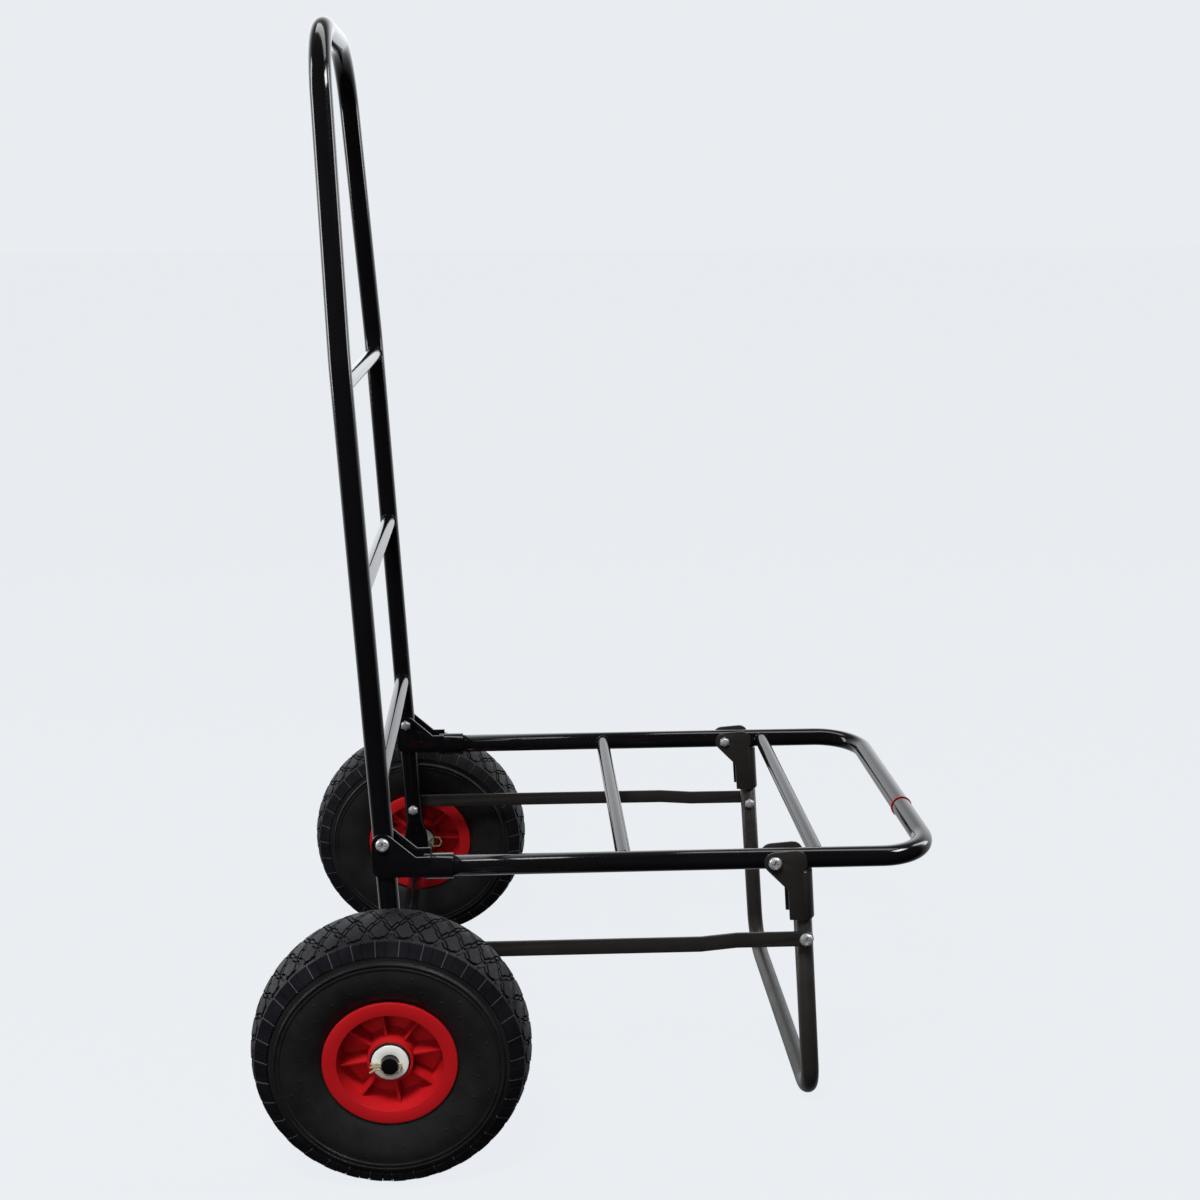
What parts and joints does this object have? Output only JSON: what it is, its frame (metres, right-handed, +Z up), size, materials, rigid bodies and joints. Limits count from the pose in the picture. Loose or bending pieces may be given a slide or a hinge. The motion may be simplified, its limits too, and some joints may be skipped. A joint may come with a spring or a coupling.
{
  "type": "folding hand truck",
  "caption": "Folding tube-frame hand truck: tall U handle, fold-up platform on a leg frame, link bars, and two air-filled tyres on red plastic rims.",
  "frame": {"origin": "bottom centre of the bounding box, on the ground, in the rest pose (unfolded)", "axes": "+X forward, from the handle towards the front of the platform; +Y to the left wheel, along the axle; +Z up"},
  "size_m": [0.6646, 0.595, 1.049],
  "materials": {
    "black_enamel": "glossy black enamel on steel tube",
    "black_bracket": "semi-gloss black coating on pressed sheet steel",
    "zinc_plate": "bright zinc plating",
    "tyre_rubber": "matt black rubber",
    "tube_rubber": "smooth black butyl rubber",
    "valve_rubber": "smooth black rubber",
    "red_rubber": "matt red rubber",
    "red_plastic": "moulded red plastic, half-gloss",
    "dark_plastic": "dark grey plastic"
  },
  "bodies": {
    "handle": {"handle_tube": "black_enamel", "handle_crossbar_1": "black_enamel", "handle_crossbar_2": "black_enamel", "handle_crossbar_3": "black_enamel", "axle": "black_enamel", "axle_washer_outer_left": "zinc_plate", "cotter_pin_outer_left": "zinc_plate", "axle_washer_inner_left": "zinc_plate", "cotter_pin_inner_left": "zinc_plate", "axle_washer_outer_right": "zinc_plate", "cotter_pin_outer_right": "zinc_plate", "axle_washer_inner_right": "zinc_plate", "cotter_pin_inner_right": "zinc_plate", "platform_pivot_left_bolt": "zinc_plate", "platform_pivot_left_nut": "zinc_plate", "link_pivot_left_bolt": "zinc_plate", "link_pivot_left_nut": "zinc_plate", "platform_pivot_right_bolt": "zinc_plate", "platform_pivot_right_nut": "zinc_plate", "link_pivot_right_bolt": "zinc_plate", "link_pivot_right_nut": "zinc_plate", "link_spacer_left": "zinc_plate", "link_spacer_right": "zinc_plate"},
    "platform": {"platform_frame": "black_enamel", "platform_crossbar_1": "black_enamel", "platform_crossbar_2": "black_enamel", "rear_bracket_left": "black_bracket", "rear_bracket_right": "black_bracket", "leg_pivot_left_bolt": "zinc_plate", "leg_pivot_left_nut": "zinc_plate", "leg_pivot_right_bolt": "zinc_plate", "leg_pivot_right_nut": "zinc_plate", "red_band": "red_rubber"},
    "leg": {"leg_frame": "black_enamel", "leg_bracket_left": "black_bracket", "leg_bracket_right": "black_bracket", "link_front_left_stud": "zinc_plate", "link_front_right_stud": "zinc_plate"},
    "left_link": {"link_bar_left": "black_bracket", "link_front_left_bolt": "zinc_plate"},
    "right_link": {"link_bar_right": "black_bracket", "link_front_right_bolt": "zinc_plate"},
    "left_wheel": {"wheel_rim_left": "red_plastic", "tyre_left": "tyre_rubber", "inner_tube_left": "tube_rubber", "valve_stem_left": "valve_rubber", "wheel_bearing_outer_left": "dark_plastic", "wheel_bearing_inner_left": "dark_plastic"},
    "right_wheel": {"wheel_rim_right": "red_plastic", "tyre_right": "tyre_rubber", "inner_tube_right": "tube_rubber", "valve_stem_right": "valve_rubber", "wheel_bearing_outer_right": "dark_plastic", "wheel_bearing_inner_right": "dark_plastic"}
  },
  "joints": [
    {"name": "platform_fold", "type": "hinge", "parent": "handle", "child": "platform", "pos_m": [-0.21041, 0, 0.302], "axis": [0, -1, 0], "range_deg": [0, 88]},
    {"name": "leg_fold", "type": "hinge", "parent": "platform", "child": "leg", "pos_m": [0.16409, 0, 0.274], "axis": [0, 1, 0], "range_deg": [0, 94.52]},
    {"name": "left_link_swing", "type": "hinge", "parent": "handle", "child": "left_link", "pos_m": [-0.20536, 0.175, 0.195], "axis": [0, -1, 0], "range_deg": [0, 81.65]},
    {"name": "right_link_swing", "type": "hinge", "parent": "handle", "child": "right_link", "pos_m": [-0.20536, -0.175, 0.195], "axis": [0, -1, 0], "range_deg": [0, 81.65]},
    {"name": "left_wheel_spin", "type": "hinge", "parent": "handle", "child": "left_wheel", "pos_m": [-0.20229, 0.255, 0.13], "axis": [0, 1, 0], "continuous": true},
    {"name": "right_wheel_spin", "type": "hinge", "parent": "handle", "child": "right_wheel", "pos_m": [-0.20229, -0.255, 0.13], "axis": [0, 1, 0], "continuous": true}
  ],
  "couplings": [
    {"joint": "leg_fold", "follows": "platform_fold", "ratio": 1.0739},
    {"joint": "left_link_swing", "follows": "platform_fold", "ratio": 0.92773},
    {"joint": "right_link_swing", "follows": "platform_fold", "ratio": 0.92773}
  ]
}
